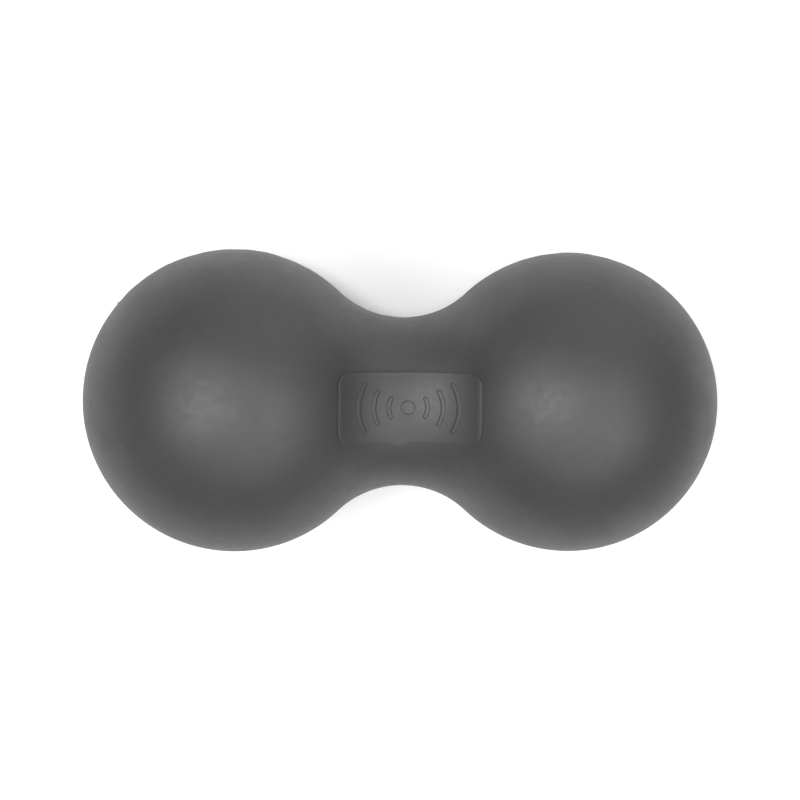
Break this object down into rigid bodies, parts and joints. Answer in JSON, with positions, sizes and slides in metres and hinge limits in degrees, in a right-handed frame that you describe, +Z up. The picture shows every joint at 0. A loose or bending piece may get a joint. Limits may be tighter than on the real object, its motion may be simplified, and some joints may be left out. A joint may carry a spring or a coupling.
{
  "type": "massage ball",
  "caption": "Peanut-shaped double massage ball: solid grey rubber spheres joined by a rounded waist, with a raised label pad let into the waist.",
  "frame": {"origin": "on the surface that the ball lies on, halfway between the flats under the two balls", "axes": "+X along the long axis, through the centres of both balls; +Z up, through the label pad; +Y across the waist"},
  "size_m": [0.1308, 0.062, 0.0619],
  "materials": {
    "body_rubber": "satin moulded rubber, neutral dark grey",
    "pad_rubber": "satin moulded rubber, the same grey, slightly smoother"
  },
  "bodies": {
    "root": {"rubber_body": "body_rubber", "label_pad": "pad_rubber"}
  },
  "joints": []
}
